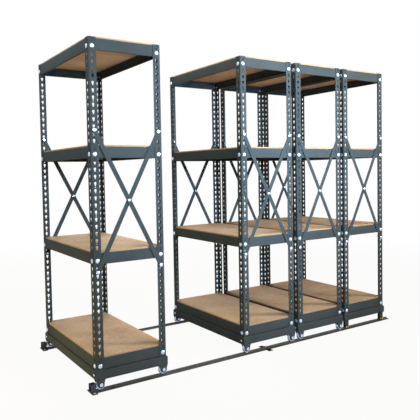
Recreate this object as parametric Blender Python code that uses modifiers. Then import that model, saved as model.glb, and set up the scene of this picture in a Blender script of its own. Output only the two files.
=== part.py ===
"""Mobile boltless rack: four shelving bays in a row over a pair of floor tracks.

Bays A, B and C stand on wheeled carriages and roll along the tracks; bay D, at the right end, stands on
a fixed base. X runs along the tracks, the front faces -Y, Z is up, and the origin is on the floor at
the middle of the whole set. Lengths are in metres.
"""

import math

import bmesh
import bpy
from mathutils import Matrix

# Fits shared by all pieces
SEAT = 0.0003  # air between pieces that rest on each other
OVERRUN = 0.001  # how far a cutter runs past the wall that it opens
WELD = 0.0005  # how far welded pieces reach into each other
MERGE = 0.00002  # points closer than this are one point
FLAT_ANGLE = math.radians(0.2)  # faces that meet flatter than this are one face

# Floor track: a flat base with a raised running rail
TRACK_BASE_WIDTH = 0.052
TRACK_BASE_HEIGHT = 0.0045
RAIL_WIDTH = 0.010
RAIL_HEIGHT = 0.008
RAIL_CHAMFER = 0.0015
TRACK_TAIL = 0.042  # track beyond the fixed bay
TRACK_SEAM = 0.0005  # between the left and right lengths
TRACK_SEAM_OFFSET = -0.016  # seam from the track's middle

# Clip that ties the two lengths of a track together and to the floor
CLIP_WIDTH = 0.032
CLIP_WALL = 0.0025
CLIP_LAP = 0.010  # over the track's base
CLIP_FOOT = 0.030  # out on the floor
CLIP_HOLE_RADIUS = 0.0045
CLIP_SIDES = 12

# End stop at the left end of each track
STOP_WIDTH = 0.031
STOP_DEPTH = 0.036
STOP_HEIGHT = 0.048
STOP_WALL = 0.003
STOP_FOOT_DEPTH = 0.084
STOP_FOOT_HEIGHT = 0.0045
STOP_HOLE_RADIUS = 0.0045

# Wheel, grooved to ride the rail
WHEEL_RADIUS = 0.025
WHEEL_WIDTH = 0.022
TREAD_RADIUS = 0.0217
GROOVE_CLEARANCE = 0.001
FLANGE_SLOPE = 0.002
AXLE_RADIUS = 0.005
AXLE_CLEARANCE = 0.0003
AXLE_PROUD = 0.002  # axle past each cheek of the fork
WHEEL_STEPS = 12
AXLE_SIDES = 8

# Wheel fork, two cheeks welded under the carriage
FORK_WIDTH = 0.0545
FORK_WALL = 0.003
FORK_LAP = 0.002  # cheeks past the carriage's underside, into the channel
FORK_TIP_RADIUS = 0.017
FORK_SIDE_GAP = 0.001
FORK_TIP_STEPS = 5
FORK_TIP_RISE = 12  # degrees below level at which the tip's round starts and ends
WHEEL_SETBACK = 0.0275  # axle from the carriage's end

# Carriage: a mitred ring of channel
CARRIAGE_SIDE_MARGIN = 0.006  # carriage past the posts at each side
CARRIAGE_END_MARGIN = 0.007  # and at the front and rear
CARRIAGE_HEIGHT = 0.0508
CARRIAGE_WHEEL_GAP = 0.0007  # air between the wheels' flanges and the underside
CHANNEL_FLANGE = 0.040
CHANNEL_WALL = 0.0025
CHANNEL_ROUND = 0.006
CHANNEL_ROUND_STEPS = 3

# Foot of the fixed bay's base, a saddle astride the rail
FOOT_WIDTH = 0.035
FOOT_RAIL_GAP = 0.003

# Bays, from the left stop to the fixed bay
AISLE = 0.5557
PARK_GAP_BC = 0.0281
PARK_GAP_CD = 0.0192

# Posts: angles punched with keyholes on both flanges
RACK_WIDTH = 0.427
RACK_DEPTH = 0.892
POST_FLANGE = 0.0445
POST_WALL = 0.002
POST_FOOT = 0.0229  # below the first keyhole
POST_HEAD = 0.0094  # above the last keyhole
KEYHOLE_PITCH = 0.0381
KEYHOLE_COUNT = 47
KEYHOLE_EDGE = 0.022  # keyhole row from the post's corner
KEYHOLE_MOUTH = 0.0145
KEYHOLE_TAIL = 0.007
KEYHOLE_RISE = 0.006
KEYHOLE_DROP = 0.0175

# Shelves: a mitred ring of beams with a board dropped in
SHELF_COUNT = 4
SHELF_PITCHES = 15  # keyholes from one shelf to the next
BEAM_RISE = 0.042  # beam above its bolt
BEAM_DROP = 0.020  # beam below its bolt
BEAM_WALL = 0.002
BEAM_LIP = 0.012
LEDGE_WIDTH = 0.014
LEDGE_DROP = 0.008
DECK_THICKNESS = 0.016
DECK_CLEARANCE = 0.001

# Cross braces, front and rear
BRACE_WIDTH = 0.026
BRACE_WALL = 0.0025
BRACE_LOW_KEYHOLE = 13  # keyholes above the lowest shelf's bolts
BRACE_SPAN_KEYHOLES = 20
BRACE_HOLE_RISE = 0.014  # round brace holes lie between two keyholes
BRACE_RIVET_RADIUS = 0.009
BRACE_RIVET_HEIGHT = 0.003
BRACE_RIVET_SIDES = 8
BRACE_TIP_STEPS = 3

# Derived heights
RAIL_TOP = TRACK_BASE_HEIGHT + RAIL_HEIGHT
AXLE_HEIGHT = RAIL_TOP + SEAT + TREAD_RADIUS
CARRIAGE_CLEARANCE = AXLE_HEIGHT + WHEEL_RADIUS + CARRIAGE_WHEEL_GAP
CARRIAGE_TOP = CARRIAGE_CLEARANCE + CARRIAGE_HEIGHT
POST_BOTTOM = CARRIAGE_TOP + SEAT
POST_LENGTH = POST_FOOT + (KEYHOLE_COUNT - 1) * KEYHOLE_PITCH + POST_HEAD
FIRST_SHELF = POST_BOTTOM + POST_FOOT
SHELF_SPACING = SHELF_PITCHES * KEYHOLE_PITCH

# Derived plan
CARRIAGE_WIDTH = RACK_WIDTH + 2 * CARRIAGE_SIDE_MARGIN
CARRIAGE_DEPTH = RACK_DEPTH + 2 * CARRIAGE_END_MARGIN
WHEEL_INSET = FORK_WALL + FORK_SIDE_GAP + WHEEL_WIDTH / 2
TRACK_Y = CARRIAGE_DEPTH / 2 - WHEEL_INSET
WHEEL_X = CARRIAGE_WIDTH / 2 - WHEEL_SETBACK
FORK_DEPTH = WHEEL_WIDTH + 2 * (FORK_SIDE_GAP + FORK_WALL)
FOOT_DEPTH = RAIL_WIDTH + 2 * (FOOT_RAIL_GAP + FORK_WALL)
ROW_LENGTH = STOP_WIDTH + SEAT + 4 * CARRIAGE_WIDTH + AISLE + PARK_GAP_BC + PARK_GAP_CD + TRACK_TAIL
ROW_LEFT = -ROW_LENGTH / 2
TRACK_LEFT = ROW_LEFT + STOP_WIDTH + SEAT
TRACK_RIGHT = ROW_LENGTH / 2
TRACK_JOINT = (TRACK_LEFT + TRACK_RIGHT) / 2 + TRACK_SEAM_OFFSET
BAY_A = TRACK_LEFT + CARRIAGE_WIDTH / 2
BAY_B = BAY_A + CARRIAGE_WIDTH + AISLE
BAY_C = BAY_B + CARRIAGE_WIDTH + PARK_GAP_BC
BAY_D = BAY_C + CARRIAGE_WIDTH + PARK_GAP_CD
BAYS = {"A": BAY_A, "B": BAY_B, "C": BAY_C, "D": BAY_D}

# Corner name, side in X, side in Y, quarter turns of a piece made for the front left corner
CORNERS = (
    ("front_left", -1, -1, 0),
    ("front_right", 1, -1, 1),
    ("rear_right", 1, 1, 2),
    ("rear_left", -1, 1, 3),
)
SIDES = (("front", -1), ("rear", 1))

# Name: base colour (linear), roughness, metallic
FINISHES = {
    "powder_coat": ((0.085, 0.125, 0.165, 1.0), 0.45, 0.0),
    "chipboard": ((0.48, 0.34, 0.22, 1.0), 0.8, 0.0),
    "zinc_wheel": ((0.62, 0.66, 0.70, 1.0), 0.3, 0.9),
    "track_steel": ((0.075, 0.068, 0.066, 1.0), 0.55, 0.4),
    "black_steel": ((0.015, 0.017, 0.016, 1.0), 0.5, 0.2),
}

# How an outline's plane is laid for each direction of extrusion
OUTLINE_TURNS = {
    "X": Matrix(((0, 0, 1, 0), (1, 0, 0, 0), (0, 1, 0, 0), (0, 0, 0, 1))),
    "Y": Matrix(((1, 0, 0, 0), (0, 0, -1, 0), (0, 1, 0, 0), (0, 0, 0, 1))),
    "Z": Matrix.Identity(4),
}


def clear_scene():
    """Removes whatever the scene holds."""
    for found in list(bpy.data.objects):
        bpy.data.objects.remove(found, do_unlink=True)


def new_collection(name):
    """A collection linked to the scene."""
    collection = bpy.data.collections.new(name)
    bpy.context.scene.collection.children.link(collection)
    return collection


def new_material(name, colour, roughness, metallic):
    """A Principled BSDF material."""
    material = bpy.data.materials.new(name)
    material.use_nodes = True
    shader = material.node_tree.nodes["Principled BSDF"]
    shader.inputs["Base Color"].default_value = colour
    shader.inputs["Roughness"].default_value = roughness
    shader.inputs["Metallic"].default_value = metallic
    material.diffuse_color = colour
    return material


def hide_tool(tool):
    """Marks an object as a helper that isn't part of the rack."""
    tool.hide_render = True
    tool.display_type = "WIRE"
    return tool


def tool_object(data, place=Matrix.Identity(4)):
    """A hidden helper object that holds a mesh or a curve."""
    tool = bpy.data.objects.new(data.name, data)
    tool.matrix_world = place
    TOOLS.objects.link(tool)
    return hide_tool(tool)


def evaluated_mesh(tool):
    """The mesh that a helper evaluates to, with its loose ends welded; the helper is removed."""
    bpy.context.view_layer.update()
    graph = bpy.context.evaluated_depsgraph_get()
    mesh = bpy.data.meshes.new_from_object(tool.evaluated_get(graph))
    mesh.name = tool.name
    mesh.transform(tool.matrix_world)
    shape = bmesh.new()
    shape.from_mesh(mesh)
    bmesh.ops.remove_doubles(shape, verts=shape.verts, dist=MERGE)
    bmesh.ops.dissolve_limit(shape, angle_limit=FLAT_ANGLE, verts=shape.verts, edges=shape.edges)
    bmesh.ops.recalc_face_normals(shape, faces=shape.faces)
    shape.to_mesh(mesh)
    shape.free()
    bpy.data.objects.remove(tool, do_unlink=True)
    return mesh


def flat_curve(name, outline):
    """A closed 2D curve through the outline's points."""
    curve = bpy.data.curves.new(name, "CURVE")
    curve.dimensions = "2D"
    curve.fill_mode = "NONE"
    spline = curve.splines.new("POLY")
    spline.points.add(len(outline) - 1)
    for point, (across, up) in zip(spline.points, outline):
        point.co = (across, up, 0, 1)
    spline.use_cyclic_u = True
    return curve


def prism(name, outline, length, axis="Z"):
    """Mesh of an outline extruded along an axis, centred on the outline's own plane.

    The outline's two directions are X and Y for axis Z, X and Z for axis Y, and Y and Z for axis X.
    """
    curve = flat_curve(name, outline)
    curve.fill_mode = "BOTH"
    curve.extrude = length / 2
    mesh = evaluated_mesh(tool_object(curve))
    mesh.transform(OUTLINE_TURNS[axis])
    return mesh


def mitred_ring(name, width, depth, section):
    """Mesh of a section swept round a rectangle; the section's points are (inward, up)."""
    half_width = width / 2
    half_depth = depth / 2
    corners = [(-half_width, -half_depth), (half_width, -half_depth)]
    corners += [(half_width, half_depth), (-half_width, half_depth)]
    path = flat_curve(name, corners)
    profile = tool_object(flat_curve(name + "_section", section))
    path.bevel_mode = "OBJECT"
    path.bevel_object = profile
    mesh = evaluated_mesh(tool_object(path))
    bpy.data.objects.remove(profile, do_unlink=True)
    return mesh


def block(name, size, centre=(0, 0, 0)):
    """Mesh of a box."""
    mesh = bpy.data.meshes.new(name)
    shape = bmesh.new()
    bmesh.ops.create_cube(shape, size=1, matrix=Matrix.Translation(centre) @ Matrix.Diagonal((*size, 1)))
    shape.to_mesh(mesh)
    shape.free()
    return mesh


def rod(name, radius, length, sides, axis="Z"):
    """Mesh of a many-sided cylinder, centred on the origin."""
    mesh = bpy.data.meshes.new(name)
    shape = bmesh.new()
    bmesh.ops.create_cone(
        shape, cap_ends=True, segments=sides, radius1=radius, radius2=radius, depth=length
    )
    shape.to_mesh(mesh)
    shape.free()
    mesh.transform(OUTLINE_TURNS[axis])
    return mesh


def combined(mesh, operation, tools):
    """The mesh after a Boolean with each (mesh, place) of tools in turn; place is a matrix."""
    body = tool_object(mesh)
    helpers = []
    for tool_mesh, place in tools:
        helper = tool_object(tool_mesh, place)
        modifier = body.modifiers.new(operation.lower(), "BOOLEAN")
        modifier.operation = operation
        modifier.solver = "EXACT"
        modifier.object = helper
        helpers.append(helper)
    result = evaluated_mesh(body)
    for helper in helpers:
        bpy.data.objects.remove(helper, do_unlink=True)
    return result


def at(x=0, y=0, z=0, quarter_turns=0):
    """A placement: quarter turns about Z, then a move."""
    return Matrix.Translation((x, y, z)) @ Matrix.Rotation(quarter_turns * math.pi / 2, 4, "Z")


def arc(centre, radius, start, end, steps):
    """Points of an arc, angles in degrees anticlockwise from the first direction."""
    points = []
    for step in range(steps + 1):
        angle = math.radians(start + (end - start) * step / steps)
        points.append((centre[0] + radius * math.cos(angle), centre[1] + radius * math.sin(angle)))
    return points


def part(name, mesh, finish, parent=None, location=(0, 0, 0), turns=0, smooth=False):
    """A named piece of the rack, placed under its parent empty."""
    piece = bpy.data.objects.new(name, mesh)
    PARTS.objects.link(piece)
    piece.parent = parent
    piece.location = location
    piece.rotation_euler.z = turns * math.pi / 2
    if not mesh.materials:
        mesh.materials.append(MATERIALS[finish])
    if smooth:
        mesh.shade_smooth()
        mesh.set_sharp_from_angle(angle=math.radians(35))
    return piece


def bay_empty(letter, x):
    """The empty that carries a bay; it slides along X."""
    empty = bpy.data.objects.new("bay_" + letter, None)
    PARTS.objects.link(empty)
    empty.location = (x, 0, 0)
    return empty


def keyhole_row(place):
    """Cutter for one flange's whole row of keyholes."""
    mouth = KEYHOLE_MOUTH / 2
    tail = KEYHOLE_TAIL / 2
    outline = [(-mouth, KEYHOLE_RISE), (-tail, -KEYHOLE_DROP), (tail, -KEYHOLE_DROP), (mouth, KEYHOLE_RISE)]
    keyhole = tool_object(prism("keyhole", outline, POST_WALL + 2 * OVERRUN, "Y"))
    repeat = keyhole.modifiers.new("row", "ARRAY")
    repeat.use_relative_offset = False
    repeat.use_constant_offset = True
    repeat.constant_offset_displace = (0, 0, KEYHOLE_PITCH)
    repeat.count = KEYHOLE_COUNT
    return evaluated_mesh(keyhole), place


def angle_mesh():
    """A plain post: an angle with its outer corner on the Z axis, standing on z = 0."""
    outline = [(0, 0), (POST_FLANGE, 0), (POST_FLANGE, POST_WALL)]
    outline += [(POST_WALL, POST_WALL), (POST_WALL, POST_FLANGE), (0, POST_FLANGE)]
    mesh = prism("angle", outline, POST_LENGTH)
    mesh.transform(at(z=POST_LENGTH / 2))
    return mesh


def punched_post_mesh():
    """A post with a row of keyholes on each flange."""
    front_row = keyhole_row(at(KEYHOLE_EDGE, POST_WALL / 2, POST_FOOT))
    side_row = keyhole_row(at(POST_WALL / 2, KEYHOLE_EDGE, POST_FOOT, 1))
    return combined(angle_mesh(), "DIFFERENCE", [front_row, side_row])


def shelf_ring_mesh(post_gap):
    """Ring of four beams, its bolts' height at z = 0; post_gap is the air to the posts' flanges."""
    ledge = BEAM_RISE - LEDGE_DROP
    section = [(0, -BEAM_DROP), (0, BEAM_RISE), (BEAM_WALL, BEAM_RISE), (BEAM_WALL, ledge)]
    section += [(LEDGE_WIDTH, ledge), (LEDGE_WIDTH, ledge - BEAM_WALL), (BEAM_WALL, ledge - BEAM_WALL)]
    section += [(BEAM_WALL, BEAM_WALL - BEAM_DROP), (BEAM_LIP, BEAM_WALL - BEAM_DROP), (BEAM_LIP, -BEAM_DROP)]
    inset = POST_WALL + post_gap
    return mitred_ring("shelf_ring", RACK_WIDTH - 2 * inset, RACK_DEPTH - 2 * inset, section)


def welded_frame_mesh():
    """Posts and shelf rings of one bay in one piece, standing on z = 0."""
    ring = shelf_ring_mesh(-WELD)
    post = angle_mesh()
    post_places = [at(side_x * RACK_WIDTH / 2, side_y * RACK_DEPTH / 2, 0, turns)
                   for _, side_x, side_y, turns in CORNERS]
    shelf_places = [at(z=POST_FOOT + level * SHELF_SPACING) for level in range(SHELF_COUNT)]
    tools = [(post, place) for place in post_places[1:]]
    tools += [(ring, place) for place in shelf_places]
    first = post.copy()
    first.transform(post_places[0])
    return combined(first, "UNION", tools)


def deck_mesh():
    """Shelf board, its underside at z = 0."""
    inset = POST_WALL + SEAT + BEAM_WALL + DECK_CLEARANCE
    size = (RACK_WIDTH - 2 * inset, RACK_DEPTH - 2 * inset, DECK_THICKNESS)
    return block("deck", size, (0, 0, DECK_THICKNESS / 2))


def brace_mesh():
    """Two crossing flat bars riveted at the middle; z = 0 is the lower bolts, y = 0 the posts' face."""
    across = RACK_WIDTH - 2 * KEYHOLE_EDGE
    rise = BRACE_SPAN_KEYHOLES * KEYHOLE_PITCH
    half_length = math.hypot(across, rise) / 2
    tip = BRACE_WIDTH / 2
    outline = arc((half_length, 0), tip, -90, 90, BRACE_TIP_STEPS)
    outline += arc((-half_length, 0), tip, 90, 270, BRACE_TIP_STEPS)
    slope = math.atan2(rise, across)
    middle = rise / 2
    bars = []
    for turn, layer in ((-slope, 0), (slope, 1)):
        y = -SEAT - BRACE_WALL / 2 - layer * (BRACE_WALL - WELD)
        bar = prism("brace_bar", outline, BRACE_WALL, "Y")
        bars.append((bar, Matrix.Translation((0, y, middle)) @ Matrix.Rotation(turn, 4, "Y")))
    rivet_start = -SEAT - BRACE_WALL / 2
    rivet_length = 3 * BRACE_WALL / 2 - WELD + BRACE_RIVET_HEIGHT
    rivet = rod("brace_rivet", BRACE_RIVET_RADIUS, rivet_length, BRACE_RIVET_SIDES, "Y")
    rivet_place = at(0, rivet_start - rivet_length / 2, middle)
    inner_bar = bars[0][0]
    inner_bar.transform(bars[0][1])
    return combined(inner_bar, "UNION", [bars[1], (rivet, rivet_place)])


def channel_section():
    """Section of the carriage's channel: open inward, outer edges rounded, underside at z = 0."""
    low_centre = (CHANNEL_ROUND, CHANNEL_ROUND)
    high_centre = (CHANNEL_ROUND, CARRIAGE_HEIGHT - CHANNEL_ROUND)
    section = [(CHANNEL_FLANGE, 0)]
    section += arc(low_centre, CHANNEL_ROUND, 270, 180, CHANNEL_ROUND_STEPS)
    section += arc(high_centre, CHANNEL_ROUND, 180, 90, CHANNEL_ROUND_STEPS)
    section += [(CHANNEL_FLANGE, CARRIAGE_HEIGHT), (CHANNEL_FLANGE, CARRIAGE_HEIGHT - CHANNEL_WALL)]
    section += [(CHANNEL_ROUND, CARRIAGE_HEIGHT - CHANNEL_WALL)]
    section += [(CHANNEL_WALL, CARRIAGE_HEIGHT - CHANNEL_ROUND), (CHANNEL_WALL, CHANNEL_ROUND)]
    section += [(CHANNEL_ROUND, CHANNEL_WALL), (CHANNEL_FLANGE, CHANNEL_WALL)]
    return section


def fork_mesh():
    """Both cheeks of a wheel fork with their axle: z = 0 is the carriage's underside."""
    axle_z = AXLE_HEIGHT - CARRIAGE_CLEARANCE
    outline = [(FORK_WIDTH / 2, FORK_LAP)]
    outline += arc((0, axle_z), FORK_TIP_RADIUS, -FORK_TIP_RISE, FORK_TIP_RISE - 180, FORK_TIP_STEPS)
    outline += [(-FORK_WIDTH / 2, FORK_LAP)]
    cheeks = prism("fork", outline, FORK_DEPTH, "Y")
    pocket_depth = WHEEL_WIDTH + 2 * FORK_SIDE_GAP
    pocket_height = CARRIAGE_CLEARANCE + FORK_LAP + OVERRUN
    pocket = block("fork_pocket", (FORK_WIDTH + 2 * OVERRUN, pocket_depth, pocket_height))
    pocket_place = at(z=FORK_LAP + OVERRUN - pocket_height / 2)
    opened = combined(cheeks, "DIFFERENCE", [(pocket, pocket_place)])
    axle = rod("axle", AXLE_RADIUS, FORK_DEPTH + 2 * AXLE_PROUD, AXLE_SIDES, "Y")
    return combined(opened, "UNION", [(axle, at(z=axle_z))])


def foot_mesh():
    """Saddle foot astride the rail; z = 0 is the base's underside."""
    drop = CARRIAGE_CLEARANCE - TRACK_BASE_HEIGHT - SEAT
    height = drop + WELD
    cheeks = block("foot", (FOOT_WIDTH, FOOT_DEPTH, height), (0, 0, WELD - height / 2))
    pocket_depth = RAIL_WIDTH + 2 * FOOT_RAIL_GAP
    pocket = block("foot_pocket", (FOOT_WIDTH + 2 * OVERRUN, pocket_depth, drop))
    return combined(cheeks, "DIFFERENCE", [(pocket, at(z=-FORK_WALL - drop / 2))])


def undercarriage_mesh(support, setback):
    """The channel ring with one support welded under each corner; z = 0 is its underside."""
    ring = mitred_ring("channel_ring", CARRIAGE_WIDTH, CARRIAGE_DEPTH, channel_section())
    half_width = CARRIAGE_WIDTH / 2 - setback
    tools = []
    for _, side_x, side_y, _ in CORNERS:
        turns = 0 if side_y < 0 else 2
        tools.append((support, at(side_x * half_width, side_y * TRACK_Y, 0, turns)))
    return combined(ring, "UNION", tools)


def wheel_mesh():
    """Grooved wheel, turned about its own axle along Y."""
    half = WHEEL_WIDTH / 2
    groove = RAIL_WIDTH / 2 + GROOVE_CLEARANCE
    bore = AXLE_RADIUS + AXLE_CLEARANCE
    upper = [(bore, half), (WHEEL_RADIUS, half)]
    upper += [(WHEEL_RADIUS, groove + FLANGE_SLOPE), (TREAD_RADIUS, groove)]
    profile = upper + [(radius, -along) for radius, along in reversed(upper)]
    mesh = bpy.data.meshes.new("wheel")
    shape = bmesh.new()
    points = [shape.verts.new((radius, 0, along)) for radius, along in profile]
    for first, second in zip(points, points[1:] + points[:1]):
        shape.edges.new((first, second))
    shape.to_mesh(mesh)
    shape.free()
    turned = tool_object(mesh)
    screw = turned.modifiers.new("turn", "SCREW")
    screw.axis = "Z"
    screw.steps = WHEEL_STEPS
    screw.render_steps = WHEEL_STEPS
    screw.use_merge_vertices = True
    screw.merge_threshold = SEAT / 10
    result = evaluated_mesh(turned)
    result.transform(OUTLINE_TURNS["Y"])
    return result


def track_mesh(length):
    """One length of track: flat base with a raised rail, resting on z = 0."""
    base = TRACK_BASE_WIDTH / 2
    rail = RAIL_WIDTH / 2
    right = [(base, 0), (base, TRACK_BASE_HEIGHT), (rail, TRACK_BASE_HEIGHT)]
    right += [(rail, RAIL_TOP - RAIL_CHAMFER), (rail - RAIL_CHAMFER, RAIL_TOP)]
    outline = right + [(-across, up) for across, up in reversed(right)]
    return prism("track", outline, length, "X")


def clip_mesh():
    """Clip for the track's outer edge, made for the front: y = 0 is the track's middle."""
    edge = -TRACK_BASE_WIDTH / 2 - SEAT
    lap_end = edge + CLIP_LAP
    foot_end = edge - CLIP_FOOT
    low = TRACK_BASE_HEIGHT + SEAT
    outline = [(foot_end, 0), (edge, 0), (edge, low), (lap_end, low), (lap_end, low + CLIP_WALL)]
    outline += [(edge - CLIP_WALL, low + CLIP_WALL), (edge - CLIP_WALL, CLIP_WALL), (foot_end, CLIP_WALL)]
    plate = prism("clip", outline, CLIP_WIDTH, "X")
    hole = rod("clip_hole", CLIP_HOLE_RADIUS, 2 * (CLIP_WALL + OVERRUN), CLIP_SIDES)
    hole_y = (foot_end + edge - CLIP_WALL) / 2
    return combined(plate, "DIFFERENCE", [(hole, at(y=hole_y))])


def stop_mesh():
    """End stop: folded plate on a long foot, open at its top and its outer side, resting on z = 0."""
    foot = block("stop_foot", (STOP_WIDTH, STOP_FOOT_DEPTH, STOP_FOOT_HEIGHT), (0, 0, STOP_FOOT_HEIGHT / 2))
    box_height = STOP_HEIGHT - STOP_FOOT_HEIGHT + WELD
    box_centre = STOP_HEIGHT - box_height / 2
    box = block("stop_box", (STOP_WIDTH - 2 * WELD, STOP_DEPTH, box_height), (0, 0, box_centre))
    pocket_size = (STOP_WIDTH - STOP_WALL + OVERRUN, STOP_DEPTH - 2 * STOP_WALL, box_height)
    pocket_centre = (-(STOP_WALL + OVERRUN) / 2, 0, box_centre + WELD + OVERRUN)
    pocket = block("stop_pocket", pocket_size, pocket_centre)
    hole = rod("stop_hole", STOP_HOLE_RADIUS, 2 * (STOP_FOOT_HEIGHT + OVERRUN), CLIP_SIDES)
    hole_y = (STOP_DEPTH + STOP_FOOT_DEPTH) / 4
    body = combined(foot, "UNION", [(box, at())])
    return combined(body, "DIFFERENCE", [(pocket, at()), (hole, at(y=-hole_y)), (hole.copy(), at(y=hole_y))])


def build_tracks():
    """Both tracks with their clips and end stops."""
    left_length = TRACK_JOINT - TRACK_LEFT - TRACK_SEAM / 2
    right_length = TRACK_RIGHT - TRACK_JOINT - TRACK_SEAM / 2
    lengths = (
        ("left", track_mesh(left_length), TRACK_LEFT + left_length / 2),
        ("right", track_mesh(right_length), TRACK_RIGHT - right_length / 2),
    )
    clip = clip_mesh()
    stop = stop_mesh()
    for side, sign in SIDES:
        y = sign * TRACK_Y
        turns = 0 if sign < 0 else 2
        for end, mesh, x in lengths:
            part(f"track_{side}_{end}", mesh, "track_steel", None, (x, y, 0))
        part(f"track_clip_{side}", clip, "black_steel", None, (TRACK_JOINT, y, 0), turns)
        part(f"end_stop_{side}", stop, "black_steel", None, (ROW_LEFT + STOP_WIDTH / 2, y, 0))


def build_shelves(letter, empty, deck):
    """The boards of one bay."""
    seat_height = BEAM_RISE - LEDGE_DROP + SEAT
    for level in range(SHELF_COUNT):
        z = FIRST_SHELF + level * SHELF_SPACING + seat_height
        part(f"deck_{letter}{level + 1}", deck, "chipboard", empty, (0, 0, z))


def build_braces(letter, empty, brace):
    """The cross braces on the front and rear faces of one bay."""
    z = FIRST_SHELF + BRACE_LOW_KEYHOLE * KEYHOLE_PITCH + BRACE_HOLE_RISE
    for side, sign in SIDES:
        turns = 0 if sign < 0 else 2
        part(f"brace_{letter}_{side}", brace, "powder_coat", empty, (0, sign * RACK_DEPTH / 2, z), turns)


def build_wheels(letter, empty, wheel):
    """The four wheels of one carriage."""
    for corner, side_x, side_y, _ in CORNERS:
        place = (side_x * WHEEL_X, side_y * TRACK_Y, AXLE_HEIGHT)
        part(f"wheel_{letter}_{corner}", wheel, "zinc_wheel", empty, place, 0, True)


def build_open_frame(letter, empty):
    """Posts and shelf rings of a bay as separate pieces."""
    post = punched_post_mesh()
    ring = shelf_ring_mesh(SEAT)
    for corner, side_x, side_y, turns in CORNERS:
        place = (side_x * RACK_WIDTH / 2, side_y * RACK_DEPTH / 2, POST_BOTTOM)
        part(f"post_{letter}_{corner}", post, "powder_coat", empty, place, turns)
    for level in range(SHELF_COUNT):
        place = (0, 0, FIRST_SHELF + level * SHELF_SPACING)
        part(f"shelf_frame_{letter}{level + 1}", ring, "powder_coat", empty, place)


def build_rack():
    """Every bay on its carriage or base."""
    deck = deck_mesh()
    brace = brace_mesh()
    wheel = wheel_mesh()
    welded_frame = welded_frame_mesh()
    carriage = undercarriage_mesh(fork_mesh(), WHEEL_SETBACK)
    base = undercarriage_mesh(foot_mesh(), WHEEL_SETBACK)
    for letter, x in BAYS.items():
        empty = bay_empty(letter, x)
        if letter == "A":
            build_open_frame(letter, empty)
        else:
            part(f"rack_frame_{letter}", welded_frame, "powder_coat", empty, (0, 0, POST_BOTTOM))
        if letter == "D":
            part("base_D", base, "powder_coat", empty, (0, 0, CARRIAGE_CLEARANCE))
        else:
            part(f"carriage_{letter}", carriage, "powder_coat", empty, (0, 0, CARRIAGE_CLEARANCE))
            build_wheels(letter, empty, wheel)
        build_shelves(letter, empty, deck)
        build_braces(letter, empty, brace)


clear_scene()
PARTS = new_collection("mobile_boltless_rack")
TOOLS = new_collection("cutters")
MATERIALS = {name: new_material(name, *finish) for name, finish in FINISHES.items()}
build_tracks()
build_rack()
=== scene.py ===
"""Looks of the mobile boltless rack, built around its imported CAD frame.

Four shelving bays stand in a row over two floor tracks: A, B and C on wheeled carriages, D on a fixed
base. Each class models one sub-assembly in metres, in the frame's own coordinates, and hands its pieces
to the CAD bodies that carry them.
"""

from __future__ import annotations

import logging
import math
from dataclasses import dataclass
from enum import Enum
from functools import cached_property
from typing import Any, Iterable, Sequence

import bmesh
import bpy
from mathutils import Color, Matrix, Vector

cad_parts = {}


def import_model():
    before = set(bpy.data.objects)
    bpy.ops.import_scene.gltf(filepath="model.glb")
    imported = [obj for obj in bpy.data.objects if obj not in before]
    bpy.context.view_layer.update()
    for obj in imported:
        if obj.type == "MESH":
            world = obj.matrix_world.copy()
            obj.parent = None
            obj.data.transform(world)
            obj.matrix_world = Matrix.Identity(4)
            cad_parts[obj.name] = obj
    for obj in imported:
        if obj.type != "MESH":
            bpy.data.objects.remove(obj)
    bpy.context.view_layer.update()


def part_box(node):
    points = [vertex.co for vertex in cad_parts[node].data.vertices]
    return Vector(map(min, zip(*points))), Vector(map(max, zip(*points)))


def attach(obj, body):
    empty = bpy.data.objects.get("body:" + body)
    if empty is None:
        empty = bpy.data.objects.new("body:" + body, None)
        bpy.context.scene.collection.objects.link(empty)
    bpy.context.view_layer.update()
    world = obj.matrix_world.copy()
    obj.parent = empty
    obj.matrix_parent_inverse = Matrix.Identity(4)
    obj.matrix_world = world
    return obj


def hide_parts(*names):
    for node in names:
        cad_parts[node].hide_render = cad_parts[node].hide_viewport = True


LOG = logging.getLogger("mobile_rack")

Mesh = bpy.types.Mesh
Shape = bmesh.types.BMesh
Edge = bmesh.types.BMEdge
Vertex = bmesh.types.BMVert
Material = bpy.types.Material
Tree = bpy.types.NodeTree
Socket = bpy.types.NodeSocket
Pair = tuple[float, float]
Triple = tuple[float, float, float]
Screen = tuple[int, int, int]  # red, green and blue from 0 to 255
Outline = list[Pair]
Stamps = tuple[Mesh, Iterable[Matrix]]  # a mould and the placements of its copies

WELD = 0.00001  # points closer than this are one point
SMOOTH_ANGLE = math.radians(32)
QUARTER = math.pi / 2
BAY_LETTERS = "ABCD"
FIXED_BAY = "D"
SHELF_COUNT = 4
ROOT_BODY = "tracks"
WHITE = (1.0, 1.0, 1.0)
UPRIGHT = Matrix.Rotation(-QUARTER, 4, "X")  # turns a bolt's head to look up


def shift(x: float = 0.0, y: float = 0.0, z: float = 0.0) -> Matrix:
    """A move along the three axes."""
    return Matrix.Translation((x, y, z))


def turned_by(angle: float, axis: str) -> Matrix:
    """A turn by an angle in radians round one axis."""
    return Matrix.Rotation(angle, 4, axis)


class Side(Enum):
    """Sides of a bay, as quarter turns from its front."""

    FRONT = 0
    RIGHT = 1
    REAR = 2
    LEFT = 3

    @property
    def label(self) -> str:
        """Name as the frame's nodes have it."""
        return self.name.lower()

    @property
    def turn(self) -> Matrix:
        """Rotation that carries a piece made for the front to this side."""
        return turned_by(self.value * QUARTER, "Z")

    def lengths(self, width: float, depth: float) -> Pair:
        """A rectangle's length along this side, and its length across it."""
        return (width, depth) if self in (Side.FRONT, Side.REAR) else (depth, width)

    def place(self, centre: Vector, reach: float) -> Matrix:
        """Placement, on this side of a centre at a distance, of a piece made for the front."""
        return shift(*centre) @ self.turn @ shift(y=-reach)


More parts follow.
